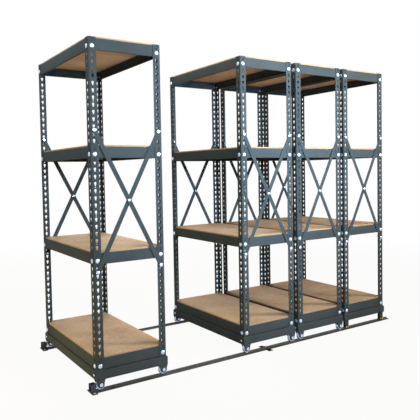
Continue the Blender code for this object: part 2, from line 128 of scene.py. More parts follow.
class Corner(Enum):
    """Corners of a bay: sides in X and Y, and quarter turns from the front left corner."""

    FRONT_LEFT = (-1, -1, 0)
    FRONT_RIGHT = (1, -1, 1)
    REAR_RIGHT = (1, 1, 2)
    REAR_LEFT = (-1, 1, 3)

    @property
    def label(self) -> str:
        """Name as the frame's nodes have it."""
        return self.name.lower()

    def place(self, low: Vector, high: Vector, z: float) -> Matrix:
        """Placement of a piece made for the front left corner.

        Args:
            low: Lowest corner of the rectangle in plan.
            high: Highest corner of the rectangle in plan.
            z: Height of the piece's own zero.

        Returns:
            The turn and move that carry the piece to this corner.
        """
        side_x, side_y, turns = self.value
        x = low.x if side_x < 0 else high.x
        y = low.y if side_y < 0 else high.y
        return shift(x, y, z) @ turned_by(turns * QUARTER, "Z")


class HeadStyle(Enum):
    """Shapes of a bolt's head."""

    DOME = "dome"
    HEX = "hex"


def painted(colour: Any) -> Any:
    """What a colour socket takes: a screen colour made linear, or the socket that feeds it as it is."""
    screen = None if isinstance(colour, Socket) else Color([channel / 255 for channel in colour])
    return (*screen.from_srgb_to_scene_linear(), 1.0) if screen else colour


class Graph:
    """A node tree with short calls that add, set and link its nodes."""

    def __init__(self, tree: Tree) -> None:
        """Keeps the tree that the nodes go into."""
        self.tree = tree

    def feed(self, node: bpy.types.Node, inputs: dict[Any, Any]) -> None:
        """Sets a node's inputs.

        Args:
            node: The node.
            inputs: Socket name or index to a value, or to the socket that feeds it.
        """
        for key, value in inputs.items():
            if isinstance(value, Socket):
                self.tree.links.new(value, node.inputs[key])
            else:
                node.inputs[key].default_value = value

    def add(self, kind: str, inputs: dict[Any, Any] | None = None, **settings: Any) -> bpy.types.Node:
        """Adds a node.

        Args:
            kind: Node type without its ShaderNode prefix.
            inputs: Socket name or index to a value, or to the socket that feeds it.
            settings: The node's own properties.

        Returns:
            The new node.
        """
        node = self.tree.nodes.new("ShaderNode" + kind)
        for name, value in settings.items():
            setattr(node, name, value)
        self.feed(node, inputs or {})
        return node

    def reckon(self, operation: str, *terms: Any) -> Socket:
        """Result of a Math node on values or sockets."""
        return self.add("Math", dict(enumerate(terms)), operation=operation).outputs[0]

    def product(self, first: Any, second: Any) -> Socket:
        """Product of two values or sockets."""
        return self.reckon("MULTIPLY", first, second)

    def ramp(self, source: Socket, low: float, high: float) -> Socket:
        """A value stretched so that low becomes 0 and high becomes 1, clamped and smoothed."""
        inputs = {"Value": source, "From Min": low, "From Max": high}
        return self.add("MapRange", inputs, interpolation_type="SMOOTHSTEP").outputs["Result"]

    def span(self, source: Socket, low: float, high: float) -> Socket:
        """A value from 0 to 1 carried to the range low to high."""
        return self.add("MapRange", {"Value": source, "To Min": low, "To Max": high}).outputs["Result"]

    def blend(self, share: Any, first: Any, second: Any) -> Socket:
        """Colour mixed from first to second by share."""
        inputs = {0: share, 6: painted(first), 7: painted(second)}  # 6, 7 and output 2 are the colour sockets
        return self.add("Mix", inputs, data_type="RGBA").outputs[2]

    def stretch(self, place: Socket, scale: Triple) -> Socket:
        """Coordinates scaled along each axis."""
        return self.add("Mapping", {"Vector": place, "Scale": scale}).outputs[0]

    def noise(self, place: Socket, scale: Any, detail: float, **more: float) -> Socket:
        """Noise from 0 to 1, with any more of the node's inputs by name."""
        inputs = {"Vector": place, "Scale": scale, "Detail": detail, **more}
        return self.add("TexNoise", inputs).outputs["Fac"]

    def upward(self, normal: str) -> Socket:
        """How far a face looks up, from -1 to 1, by the named normal."""
        return self.add("SeparateXYZ", {0: self.add("NewGeometry").outputs[normal]}).outputs["Z"]

    def put_out(self, kind: str, share: Socket, first: bpy.types.Node, second: bpy.types.Node) -> None:
        """Adds an output node of a kind, fed by the first shader and a share of the second."""
        mixed = self.add("MixShader", {0: share, 1: first.outputs[0], 2: second.outputs[0]})
        self.add(kind, {"Surface": mixed.outputs[0]})

    def looked_at(self) -> Socket:
        """Tells what a camera sees from what only lights the scene.

        Returns:
            1 for rays straight from the camera, in a reflection or through glass, and 0 for others.
        """
        rays = self.add("LightPath").outputs
        share = self.reckon("MAXIMUM", rays["Is Camera Ray"], rays["Is Glossy Ray"])
        return self.reckon("MAXIMUM", share, rays["Is Transmission Ray"])


class Surface(Graph):
    """The graph of a new material, with Object coordinates at hand."""

    def __init__(self, name: str) -> None:
        """Makes the material.

        Args:
            name: Its name.
        """
        self.material = bpy.data.materials.new(name)
        self.material.use_nodes = True
        super().__init__(self.material.node_tree)
        self.place = self.add("TexCoord").outputs["Object"]

    def pattern(self, group: Tree, **inputs: float) -> Socket:
        """Places a shared pattern.

        Args:
            group: The pattern's node group.
            inputs: This material's own values for it.

        Returns:
            What the pattern puts out.
        """
        node = self.add("Group", node_tree=group)
        self.feed(node, {"Vector": self.place, **inputs})
        return node.outputs[0]

    def dress(self, colour: Any, roughness: Any, height: Any, strength: float, depth: float,
              **constants: float) -> Material:
        """Feeds the material's shader.

        Args:
            colour: Socket of the base colour.
            roughness: Socket of the roughness.
            height: Socket of the fine relief.
            strength: How much of the relief shows.
            depth: Full depth of the relief in metres.
            constants: Other inputs of the shader, with underscores for spaces.

        Returns:
            The material.
        """
        bump = self.add("Bump", {"Height": height, "Strength": strength, "Distance": depth})
        inputs = {name.replace("_", " "): value for name, value in constants.items()}
        self.feed(self.tree.nodes["Principled BSDF"], {
            "Base Color": colour, "Roughness": roughness, "Normal": bump.outputs["Normal"], **inputs,
        })
        return self.material


class Pattern(Graph):
    """The graph of a new node group, with its inputs at hand."""

    def __init__(self, name: str, **inputs: float) -> None:
        """Makes the group.

        Args:
            name: Its name.
            inputs: Its inputs besides the place, with their first values.
        """
        super().__init__(bpy.data.node_groups.new(name, "ShaderNodeTree"))
        self.tree.interface.new_socket(name="Vector", in_out="INPUT", socket_type="NodeSocketVector")
        for label, value in inputs.items():
            self._socket(label, "INPUT").default_value = value
        self.given = self.tree.nodes.new("NodeGroupInput").outputs
        self.place = self.given["Vector"]

    def _socket(self, name: str, way: str) -> bpy.types.NodeTreeInterfaceSocket:
        """Adds a number to what goes in or comes out."""
        return self.tree.interface.new_socket(name=name, in_out=way, socket_type="NodeSocketFloat")

    def finished(self, name: str, value: Socket) -> Tree:
        """Ends the group.

        Args:
            name: Name of its output.
            value: What it puts out.

        Returns:
            The node group.
        """
        self._socket(name, "OUTPUT")
        self.feed(self.tree.nodes.new("NodeGroupOutput"), {name: value})
        return self.tree


@dataclass
class Patterns:
    """Shader node groups that several finishes share. Each is built once."""

    grain_detail: float = 2.0
    scuff_stretch: Triple = (1.0, 1.0, 6.0)
    scuff_detail: float = 5.0
    scuff_roughness: float = 0.7
    scuff_reach: Pair = (0.60, 0.72)
    patch_scale: float = 7.0
    patch_detail: float = 1.0
    patch_reach: Pair = (0.52, 0.70)
    cloud_detail: float = 3.0
    cloud_distortion: float = 0.4
    dust_facing: Pair = (0.75, 1.0)
    dust_detail: float = 4.0
    dust_reach: Pair = (0.35, 0.75)

    @cached_property
    def grain(self) -> Tree:
        """Orange-peel skin of a baked coat."""
        group = Pattern("paint_grain", Scale=700.0)
        return group.finished("Height", group.noise(group.place, group.given["Scale"], self.grain_detail))

    @cached_property
    def scuffs(self) -> Tree:
        """Short fine rubs, broken up by a coarser pattern.

        Returns:
            The group, whose cover says how strong they are.
        """
        group = Pattern("fine_scuffs", Scale=30.0, Cover=0.3)
        drawn = group.stretch(group.place, self.scuff_stretch)
        fine = group.noise(drawn, group.given["Scale"], self.scuff_detail, Roughness=self.scuff_roughness)
        coarse = group.noise(group.place, self.patch_scale, self.patch_detail)
        cover = group.product(group.ramp(coarse, *self.patch_reach), group.given["Cover"])
        return group.finished("Mask", group.product(group.ramp(fine, *self.scuff_reach), cover))

    @cached_property
    def clouds(self) -> Tree:
        """Broad soft patches.

        Returns:
            The group, whose softness is how far their edges reach either side of the middle.
        """
        group = Pattern("soft_clouds", Scale=5.0, Softness=0.25)
        noise = group.noise(group.place, group.given["Scale"], self.cloud_detail,
                            Distortion=self.cloud_distortion)
        low, high = (group.reckon(way, 0.5, group.given["Softness"]) for way in ("SUBTRACT", "ADD"))
        spread = group.add("MapRange", {"Value": noise, "From Min": low, "From Max": high})
        return group.finished("Mask", spread.outputs["Result"])

    @cached_property
    def dust(self) -> Tree:
        """Dust that lies on faces that look up.

        Returns:
            The group.
        """
        group = Pattern("settled_dust", Scale=40.0)
        flat = group.ramp(group.upward("Normal"), *self.dust_facing)
        specks = group.noise(group.place, group.given["Scale"], self.dust_detail)
        return group.finished("Mask", group.product(flat, group.ramp(specks, *self.dust_reach)))


@dataclass(frozen=True)
class CoatFinish:
    """Paint or plating on steel, with clouding, scuffs, dust and a fine skin."""

    slot: str
    name: str
    tone: Screen
    shade: Screen
    scuff: Screen
    roughness: Pair
    metallic: float = 0.0
    specular: float = 0.5
    cloud_scale: float = 5.0
    scuff_cover: float = 0.3
    dust_share: float = 0.12
    grain_scale: float = 700.0
    grain_strength: float = 0.35
    grain_depth: float = 0.00012
    dust: Screen = (150, 140, 125)

    def build(self, patterns: Patterns) -> Material:
        """Makes the material.

        Args:
            patterns: The shared node groups.

        Returns:
            The material, driven by Object coordinates.
        """
        graph = Surface(self.name)
        clouds = graph.pattern(patterns.clouds, Scale=self.cloud_scale)
        scuffs = graph.pattern(patterns.scuffs, Cover=self.scuff_cover)
        dust = graph.product(graph.pattern(patterns.dust), self.dust_share)
        grain = graph.pattern(patterns.grain, Scale=self.grain_scale)
        colour = graph.blend(clouds, self.shade, self.tone)
        colour = graph.blend(dust, graph.blend(scuffs, colour, self.scuff), self.dust)
        return graph.dress(colour, graph.span(clouds, *self.roughness), grain, self.grain_strength,
                           self.grain_depth, Metallic=self.metallic, Specular_IOR_Level=self.specular)


@dataclass(frozen=True)
class ChipboardFinish:
    """Pressed board: pale mottled faces, and raw edges in a warmer tone."""

    slot: str = "chipboard"
    name: str = "chipboard_board"
    light: Screen = (204, 176, 147)
    dark: Screen = (181, 153, 125)
    fleck_light: Screen = (226, 204, 178)
    fleck_dark: Screen = (142, 116, 90)
    edge: Screen = (190, 150, 112)
    edge_dark: Screen = (146, 108, 74)
    roughness: Pair = (0.72, 0.88)
    specular: float = 0.25
    cloud_scale: float = 4.5
    cloud_softness: float = 0.16
    grain_stretch: Triple = (1.0, 0.35, 1.0)
    strand_scale: float = 90.0
    strand_detail: float = 6.0
    strand_roughness: float = 0.65
    strand_reach: Pair = (0.52, 0.74)
    strand_share: float = 0.35
    chip_scale: float = 260.0
    light_chips: Pair = (0.72, 0.95)
    light_share: float = 0.35
    dark_chips: Pair = (0.22, 0.02)
    dark_share: float = 0.40
    layer_stretch: Triple = (1.0, 1.0, 4.0)
    layer_scale: float = 160.0
    layer_detail: float = 4.0
    layer_reach: Pair = (0.50, 0.72)
    layer_share: float = 0.8
    flat_reach: Pair = (0.45, 0.8)
    relief_strength: float = 0.4
    relief_depth: float = 0.0004

    def build(self, patterns: Patterns) -> Material:
        """Makes the material.

        Args:
            patterns: The shared node groups.

        Returns:
            The material, driven by Object coordinates.
        """
        graph = Surface(self.name)
        clouds = graph.pattern(patterns.clouds, Scale=self.cloud_scale, Softness=self.cloud_softness)
        drift = graph.stretch(graph.place, self.grain_stretch)
        strands = graph.noise(drift, self.strand_scale, self.strand_detail, Roughness=self.strand_roughness)
        chips = graph.add("TexVoronoi", {"Vector": drift, "Scale": self.chip_scale})
        chip = graph.add("SeparateColor", {"Color": chips.outputs["Color"]}).outputs["Red"]
        face = graph.blend(clouds, self.dark, self.light)
        for source, reach, share, tone in (
            (chip, self.light_chips, self.light_share, self.fleck_light),
            (chip, self.dark_chips, self.dark_share, self.fleck_dark),
            (strands, self.strand_reach, self.strand_share, self.dark),
        ):
            face = graph.blend(graph.product(graph.ramp(source, *reach), share), face, tone)
        layers = graph.noise(graph.stretch(graph.place, self.layer_stretch), self.layer_scale,
                             self.layer_detail)
        edge = graph.product(graph.ramp(layers, *self.layer_reach), self.layer_share)
        edge = graph.blend(edge, self.edge, self.edge_dark)
        flat = graph.ramp(graph.reckon("ABSOLUTE", graph.upward("True Normal")), *self.flat_reach)
        return graph.dress(graph.blend(flat, edge, face), graph.span(chip, *self.roughness),
                           graph.reckon("ADD", strands, chip), self.relief_strength, self.relief_depth,
                           Specular_IOR_Level=self.specular)


class Finish(Enum):
    """Finishes of the rack, each with the record's material slot that it belongs to."""

    POWDER_COAT = CoatFinish(
        "powder_coat", "powder_coat_paint", (71, 79, 83), (62, 69, 73), (114, 119, 122),
        (0.66, 0.78), specular=0.05, grain_depth=0.0002,
    )
    ZINC = CoatFinish(
        "zinc_wheel", "zinc_plate", (206, 219, 234), (180, 195, 214), (232, 240, 250),
        (0.22, 0.38), metallic=0.75, cloud_scale=60.0, dust_share=0.05, grain_scale=1500.0,
        grain_depth=0.00005,
    )
    TRACK = CoatFinish(
        "track_steel", "track_mill_steel", (80, 80, 82), (60, 60, 62), (116, 115, 116),
        (0.42, 0.62), metallic=0.35, cloud_scale=14.0, scuff_cover=0.5, dust_share=0.2,
    )
    BLACK = CoatFinish(
        "black_steel", "black_paint", (56, 65, 74), (47, 55, 63), (98, 104, 110),
        (0.50, 0.64), specular=0.25, cloud_scale=12.0,
    )
    # Near-black oxide of the joint clips and screws; on the beam rivets this tone is painted shade in the
    # keyholes.
    OXIDE = CoatFinish(
        "black_steel", "black_oxide", (30, 32, 30), (22, 24, 22), (70, 72, 70),
        (0.60, 0.75), specular=0.2, cloud_scale=30.0, dust_share=0.05,
    )
    YELLOW_ZINC = CoatFinish(
        "zinc_wheel", "yellow_zinc_plate", (214, 178, 110), (186, 146, 84), (236, 214, 160),
        (0.25, 0.40), metallic=0.75, cloud_scale=60.0, dust_share=0.05, grain_depth=0.00005,
    )
    CHIPBOARD = ChipboardFinish()


def mould(shape: Shape) -> Mesh:
    """Turns a bmesh into a mesh that pieces are stamped from, and frees it.

    Args:
        shape: The shape, which is welded and gets its faces outwards.

    Returns:
        The mesh, which is no piece itself.
    """
    bmesh.ops.remove_doubles(shape, verts=shape.verts, dist=WELD)
    bmesh.ops.recalc_face_normals(shape, faces=shape.faces)
    mesh = bpy.data.meshes.new("mould")
    shape.to_mesh(mesh)
    shape.free()
    return mesh


def stamped(groups: Iterable[Stamps]) -> Shape:
    """Gathers copies of moulds in one bmesh.

    Args:
        groups: Each a mould and the placements of its copies.

    Returns:
        The bmesh with every copy.
    """
    shape = bmesh.new()
    for source, places in groups:
        for place in places:
            copy = source.copy()
            copy.transform(place)
            shape.from_mesh(copy)
            bpy.data.meshes.remove(copy)
    return shape


def ease(shape: Shape, edges: Iterable[Edge], width: float, steps: int = 2) -> None:
    """Bevels some edges of a bmesh."""
    bmesh.ops.bevel(shape, geom=list(edges), offset=width, segments=steps, profile=0.5,
                    affect="EDGES", material=-1, clamp_overlap=True)


def raised(shape: Shape, grown: dict[str, list[Any]], way: Sequence[float]) -> None:
    """Moves the vertices that an extrude has just made."""
    fresh = [item for item in grown["geom"] if isinstance(item, Vertex)]
    bmesh.ops.translate(shape, verts=fresh, vec=way)


def span_of(edge: Edge) -> Vector:
    """From one end of an edge to the other."""
    return edge.verts[1].co - edge.verts[0].co


def loop_of(shape: Shape, points: Iterable[Sequence[float]]) -> list[Edge]:
    """Adds a closed loop of edges through points."""
    corners = [shape.verts.new(point) for point in points]
    return [shape.edges.new((corners[index - 1], corner)) for index, corner in enumerate(corners)]


def arc(centre: Pair, radius: float, start: float, end: float, steps: int) -> Outline:
    """Points of an arc from a start to an end angle in degrees, in a number of chords."""
    angles = [math.radians(start + (end - start) * step / steps) for step in range(steps + 1)]
    return [(centre[0] + radius * math.cos(angle), centre[1] + radius * math.sin(angle)) for angle in angles]


def ring(centre: Pair, radius: float, sides: int) -> Outline:
    """Corners of a regular polygon, the first at angle 0."""
    return arc(centre, radius, 0, 360 - 360 / sides, sides - 1)


def block(size: Sequence[float], bevel: float = 0.0) -> Mesh:
    """A rectangular block about the origin.

    Args:
        size: Its three lengths.
        bevel: Width of the bevel of its edges.

    Returns:
        The mould.
    """
    shape = bmesh.new()
    bmesh.ops.create_cube(shape, size=1, matrix=Matrix.Diagonal((*size, 1)))
    if bevel:
        ease(shape, shape.edges, bevel)
    return mould(shape)


def prism(points: Iterable[Sequence[float]], way: Sequence[float]) -> Shape:
    """Draws a face out to a closed solid.

    Args:
        points: The face's corners.
        way: How far it is drawn.

    Returns:
        The solid.
    """
    shape = bmesh.new()
    face = shape.faces.new([shape.verts.new(point) for point in points])
    raised(shape, bmesh.ops.extrude_face_region(shape, geom=[face]), way)
    return shape


def bar(outline: Outline, length: float, mitred: bool = False, bevel: float = 0.0) -> Mesh:
    """A section extruded along X, centred on x = 0.

    Args:
        outline: The section's points, as (y, z).
        length: Length at y = 0.
        mitred: Whether both ends are cut at 45 degrees, so that the bar gets shorter towards +Y.
        bevel: Width of the bevel along its long edges.

    Returns:
        The mould.
    """
    shape = prism([(-length / 2, y, z) for y, z in outline], (length, 0, 0))
    if bevel:
        ease(shape, [edge for edge in shape.edges if abs(span_of(edge).x) > length / 2], bevel)
    if mitred:
        for corner in shape.verts:
            corner.co.x -= math.copysign(corner.co.y, corner.co.x)
    return mould(shape)


def slab(outline: Outline, thickness: float, bevel: float = 0.0, steps: int = 2) -> Shape:
    """A flat plate of an outline in X and Z, from y = 0 to y = thickness.

    Args:
        outline: The plate's points, as (x, z).
        thickness: How thick it is, towards +Y.
        bevel: Width of the bevel along its rims.
        steps: Segments of that bevel.

    Returns:
        The closed plate.
    """
    shape = prism([(x, 0, z) for x, z in outline], (0, thickness, 0))
    if bevel:
        ease(shape, [edge for edge in shape.edges if abs(span_of(edge).y) < WELD], bevel, steps)
    bmesh.ops.recalc_face_normals(shape, faces=shape.faces)
    return shape


def turned(profile: Outline, steps: int) -> Mesh:
    """A profile turned round the Y axis, with its seam and poles merged.

    Args:
        profile: Open or closed chain of (radius, y) points; radii of 0 close on the axis.
        steps: Segments of the full turn.

    Returns:
        The mould.
    """
    shape = bmesh.new()
    corners = [shape.verts.new((radius, y, 0)) for radius, y in profile]
    chain = [shape.edges.new(pair) for pair in zip(corners, corners[1:])]
    if min(radius for radius, _ in profile) > 0:
        chain.append(shape.edges.new((corners[-1], corners[0])))
    bmesh.ops.spin(shape, geom=corners + chain, cent=(0, 0, 0), axis=(0, 1, 0), dvec=(0, 0, 0),
                   angle=math.tau, steps=steps, use_merge=True, use_duplicate=False)
    return mould(shape)


class Workshop:
    """Makes the finishes, and turns stamped moulds into pieces that ride on the frame's bodies."""

    def __init__(self) -> None:
        """Builds the shared patterns and every finish."""
        patterns = Patterns()
        self.materials = {finish: finish.value.build(patterns) for finish in Finish}
        self.made = 0

    def piece(
        self, name: str, finish: Finish, body: str, groups: Iterable[Stamps], node: str = ""
    ) -> None:
        """Makes a piece, its object at the origin.

        Args:
            name: The piece's name.
            finish: What covers it.
            body: CAD body that it moves with.
            groups: Moulds with their placements in the frame's coordinates.
            node: CAD node that it stands for, if any.
        """
        shape = stamped(groups)
        bmesh.ops.remove_doubles(shape, verts=shape.verts, dist=WELD)
        mesh = bpy.data.meshes.new(name)
        shape.to_mesh(mesh)
        shape.free()
        mesh.shade_smooth()
        mesh.set_sharp_from_angle(angle=SMOOTH_ANGLE)
        mesh.materials.append(self.materials[finish])
        made = bpy.data.objects.new(name, mesh)
        bpy.context.scene.collection.objects.link(made)
        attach(made, body)
        if node:
            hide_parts(node)
        self.made += 1
        LOG.info("%s: %d faces on body %s", name, len(mesh.polygons), body)


@dataclass(frozen=True)
class Bolt:
    """A bolt head, washer included, that looks towards -Y from y = 0, and what shows behind it."""

    style: HeadStyle = HeadStyle.DOME
    radius: float = 0.0122
    height: float = 0.0045
    rim: float = 0.0012
    dimple: float = 0.0022
    dimple_floor_share: float = 0.8
    dimple_level_share: float = 0.72
    dome_steps: int = 4
    sides: int = 14
    flats: int = 6
    chamfer_share: float = 0.16
    nut_radius: float = 0.0078
    nut_height: float = 0.0058
    shank_radius: float = 0.0038
    shank_proud: float = 0.0025
    shank_tip_share: float = 0.8
    shank_steps: int = 8

    def fitted(self, seats: Sequence[Matrix], grip: float = 0.0) -> list[Stamps]:
        """Fits bolts.

        Args:
            seats: Placements of their heads.
            grip: How far behind its head each has a nut. Without it only the heads are made.

        Returns:
            The moulds of their parts with the placements.
        """
        head = self._dome() if self.style is HeadStyle.DOME else self._hexagon(self.radius, self.height)
        if not grip:
            return [(head, seats)]
        nut = self._hexagon(self.nut_radius, self.nut_height)
        end = grip + self.nut_height + self.shank_proud
        tip = self.shank_radius * self.shank_tip_share
        profile = [(0.0, grip), (self.shank_radius, grip), (self.shank_radius, end - self.shank_radius + tip),
                   (tip, end), (0.0, end)]
        behind = [seat @ shift(y=grip + self.nut_height) for seat in seats]
        return [(head, seats), (nut, behind), (turned(profile, self.shank_steps), seats)]

    def _dome(self) -> Mesh:
        """A round head with a dimple in its middle.

        Returns:
            The mould, from y = 0 to y = -height.
        """
        profile = [(0.0, 0.0), (self.radius, 0.0), (self.radius, -self.rim)]
        for step in range(1, self.dome_steps):
            angle = QUARTER * step / self.dome_steps
            rise = self.rim + (self.height - self.rim) * math.sin(angle)
            profile.append((self.radius * math.cos(angle), -rise))
        floor = -self.height * self.dimple_level_share
        profile += [(self.dimple, -self.height), (self.dimple * self.dimple_floor_share, floor), (0.0, floor)]
        return turned(profile, self.sides)

    def _hexagon(self, radius: float, height: float) -> Mesh:
        """A hexagon with its outer rim chamfered.

        Args:
            radius: From its middle to a corner.
            height: How far it reaches towards -Y from y = 0.

        Returns:
            The mould.
        """
        shape = slab(ring((0, 0), radius, self.flats), height)
        rims = [edge for edge in shape.edges if max(vert.co.y for vert in edge.verts) < WELD]
        ease(shape, rims, height * self.chamfer_share, 1)
        bmesh.ops.translate(shape, verts=shape.verts, vec=(0, -height, 0))
        return mould(shape)


@dataclass
class Bay:
    """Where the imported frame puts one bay, and which nodes hold its posts and its shelf frames."""

    letter: str
    posts: list[str]
    shelves: list[str]
    low: Vector
    high: Vector
    boards: list[tuple[Vector, Vector]]

    @classmethod
    def from_frame(cls, letter: str) -> Bay:
        """Reads a bay's place from the frame's nodes.

        Args:
            letter: The bay's letter. Only bay A has its posts and shelf frames as nodes of their own.

        Returns:
            The bay, with the box round its posts and a box for each board from the lowest up.
        """
        posts = shelves = [f"rack_frame_{letter}"] * SHELF_COUNT
        if letter == "A":
            posts = [f"post_A_{corner.label}" for corner in Corner]
            shelves = [f"shelf_frame_A{level + 1}" for level in range(SHELF_COUNT)]
        boxes = [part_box(post) for post in posts]
        low = Vector(map(min, zip(*(box[0] for box in boxes))))
        high = Vector(map(max, zip(*(box[1] for box in boxes))))
        boards = [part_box(f"deck_{letter}{level + 1}") for level in range(SHELF_COUNT)]
        return cls(letter, posts, shelves, low, high, boards)

    @property
    def middle(self) -> Vector:
        """Centre of the box round the posts."""
        return (self.low + self.high) / 2

    @property
    def body(self) -> str:
        """CAD body that the bay is part of."""
        return ROOT_BODY if self.letter == FIXED_BAY else f"bay_{self.letter}"


@dataclass
class BayPart:
    """A sub-assembly of one bay."""

    workshop: Workshop
    bay: Bay

    def make(
        self, kind: str, finish: Finish, groups: Iterable[Stamps], tail: str = "", node: str = ""
    ) -> None:
        """Makes a piece named after its kind, the bay and a tail, in place of a CAD node if one is given."""
        name = f"{kind}_{self.bay.letter}{tail}"
        self.workshop.piece(name, finish, self.bay.body, groups, node)


@dataclass
class PostSet(BayPart):
    """The four angle posts of a bay, punched with keyholes and round brace holes."""

    flange: float = 0.0445
    wall: float = 0.002
    bend: float = 0.0032
    bend_steps: int = 4
    foot: float = 0.0229
    head: float = 0.0094
    pitch: float = 0.0381
    count: int = 47
    row: float = 0.022
    mouth: float = 0.0074
    mouth_centre: float = -0.0022
    mouth_steps: int = 6
    tail: float = 0.0039
    tail_centre: float = -0.0133
    tail_steps: int = 3
    brace_hole: float = 0.0032
    brace_hole_sides: int = 8
    brace_hole_rise: float = 0.014
    brace_hole_first: int = 2
    brace_hole_every: int = 4

    def build(self) -> None:
        """Makes the four posts."""
        post = self.post()
        for corner, node in zip(Corner, self.bay.posts):
            place = corner.place(self.bay.low, self.bay.high, self.bay.low.z)
            self.make("punched_post", Finish.POWDER_COAT, [(post, [place])], f"_{corner.label}", node)

    def keyhole(self) -> Outline:
        """A keyhole about its bolt's centre: a round mouth that narrows to a slot.

        Returns:
            Its points in order, as (x, z).
        """
        neck = math.degrees(math.acos(self.tail / self.mouth))
        half = arc((0, self.mouth_centre), self.mouth, 90, -neck, self.mouth_steps)
        half += arc((0, self.tail_centre), self.tail, 0, -90, self.tail_steps)
        return half + [(-x, z) for x, z in reversed(half[1:-1])]

    def pitch_strip(self, with_brace_hole: bool) -> Mesh:
        """One pitch of the outer skin, folded into an angle.

        Args:
            with_brace_hole: Whether a round hole lies under the keyhole.

        Returns:
            An open mould whose keyhole has its bolt's centre at z = 0.
        """
        top, bottom = self.head, self.head - self.pitch
        outlines = [[(self.bend, bottom), (self.flange, bottom), (self.flange, top), (self.bend, top)],
                    [(self.row + x, z) for x, z in self.keyhole()]]
        if with_brace_hole:
            centre = (self.row, self.brace_hole_rise - self.pitch)
            outlines.append(ring(centre, self.brace_hole, self.brace_hole_sides))
        shape = bmesh.new()
        edges = [edge for outline in outlines for edge in loop_of(shape, [(x, 0, z) for x, z in outline])]
        bmesh.ops.triangle_fill(shape, use_beauty=True, use_dissolve=False, edges=edges, normal=(0, -1, 0))
        twin = bmesh.ops.duplicate(shape, geom=shape.verts[:] + shape.edges[:] + shape.faces[:])["geom"]
        swap = Matrix(((0, 1, 0, 0), (1, 0, 0, 0), (0, 0, 1, 0), (0, 0, 0, 1)))
        bmesh.ops.transform(shape, matrix=swap,
                            verts=[item for item in twin if isinstance(item, Vertex)])
        fold = [edge for edge in shape.edges
                if all(abs(vert.co.x - self.bend) < WELD and abs(vert.co.y) < WELD for vert in edge.verts)]
        bmesh.ops.spin(shape, geom=fold + list(fold[0].verts), cent=(self.bend, self.bend, 0),
                       axis=(0, 0, 1), dvec=(0, 0, 0), angle=-QUARTER, steps=self.bend_steps,
                       use_merge=False, use_duplicate=False)
        return mould(shape)

    def post(self) -> Mesh:
        """A whole post.

        Returns:
            The mould, with its outer corner on the Z axis, standing on z = 0.
        """
        strips = [self.pitch_strip(with_hole) for with_hole in (False, True)]
        holed = range(self.brace_hole_first, self.count, self.brace_hole_every)
        shape = stamped((strips[index in holed], [shift(z=self.foot + index * self.pitch)])
                        for index in range(self.count))
        bmesh.ops.bisect_plane(shape, geom=shape.verts[:] + shape.edges[:] + shape.faces[:], dist=WELD,
                               plane_co=(0, 0, 0), plane_no=(0, 0, 1), clear_inner=True)
        bmesh.ops.remove_doubles(shape, verts=shape.verts, dist=WELD)
        bmesh.ops.recalc_face_normals(shape, faces=shape.faces)
        front = max(shape.faces, key=lambda face: face.calc_center_median().x)
        if front.normal.y > 0:
            bmesh.ops.reverse_faces(shape, faces=shape.faces)
        bmesh.ops.solidify(shape, geom=shape.faces[:], thickness=self.wall)
        return mould(shape)


@dataclass
class ShelfFrames(BayPart):
    """Shelf beams with their rivets, bolts and nuts, and the boards that lie in them."""

    posts: PostSet
    rise: float = 0.042
    drop: float = 0.020
    wall: float = 0.002
    lip: float = 0.012
    ledge: float = 0.014
    ledge_drop: float = 0.008
    bend: float = 0.0024
    bend_steps: int = 4
    gap: float = 0.0003
    bevel: float = 0.0005
    mitre_gap: float = 0.0004
    board_bevel: float = 0.0009
    bolt: Bolt = Bolt()
    rivet: Bolt = Bolt(radius=0.0043, height=0.0012, rim=0.0004, dimple=0.001, sides=10)

    def build(self) -> None:
        """Makes the bay's beams, boards, bolts and rivets."""
        inset = self.posts.wall + self.gap
        width, depth, _ = self.bay.high - self.bay.low - Vector((2 * inset, 2 * inset, 0))
        levels = zip(self.bay.boards, self.bay.shelves)
        for number, ((low, high), node) in enumerate(levels, 1):
            centre = Vector((*self.bay.middle.xy, self.bolt_height(low)))
            beams = []
            for side in Side:
                across, reach = side.lengths(width, depth)
                beam = bar(self.section(), across - 2 * self.mitre_gap, mitred=True, bevel=self.bevel)
                beams.append((beam, [side.place(centre, reach / 2)]))
            self.make("shelf_beams", Finish.POWDER_COAT, beams, f"{number}", node)
            board = block(high - low, self.board_bevel)
            self.make("board", Finish.CHIPBOARD, [(board, [shift(*((low + high) / 2))])], f"{number}",
                      f"deck_{self.bay.letter}{number}")
        self._fasteners()

    def section(self) -> Outline:
        """Section of a beam about its bolt's centre.

        Returns:
            Its points, as (inward, up).
        """
        low = -self.drop
        ledge = self.rise - self.ledge_drop
        return [
            (self.wall, low + self.bend), (self.wall, ledge - self.wall), (self.ledge, ledge - self.wall),
            (self.ledge, ledge), (self.wall, ledge), (self.wall, self.rise), (0, self.rise),
            *arc((self.bend, low + self.bend), self.bend, 180, 270, self.bend_steps),
            (self.lip, low), (self.lip, low + self.wall), (self.bend, low + self.wall),
        ]

    def bolt_height(self, board_low: Vector) -> float:
        """Height of the bolts of the shelf whose board has this lowest corner."""
        return board_low.z - self.gap - (self.rise - self.ledge_drop)

    def _fasteners(self) -> None:
        """Makes the shelf bolts with their nuts, and the rivets above them, dark as painted shade in the
        keyholes.
        """
        on_front = shift(self.posts.row)
        on_side = shift(y=self.posts.row) @ turned_by(-QUARTER, "Z")
        seats = [corner.place(self.bay.low, self.bay.high, self.bolt_height(low)) @ face
                 for low, _ in self.bay.boards for corner in Corner for face in (on_front, on_side)]
        inset = self.posts.wall + self.gap
        above = shift(y=inset, z=self.posts.pitch + self.posts.tail_centre)
        self.make("shelf_bolts", Finish.ZINC, self.bolt.fitted(seats, inset + self.wall))
        # The rivets are real parts, but their near-black colour is painted shade inside the keyholes.
        self.make("beam_rivets", Finish.OXIDE, self.rivet.fitted([seat @ above for seat in seats]))


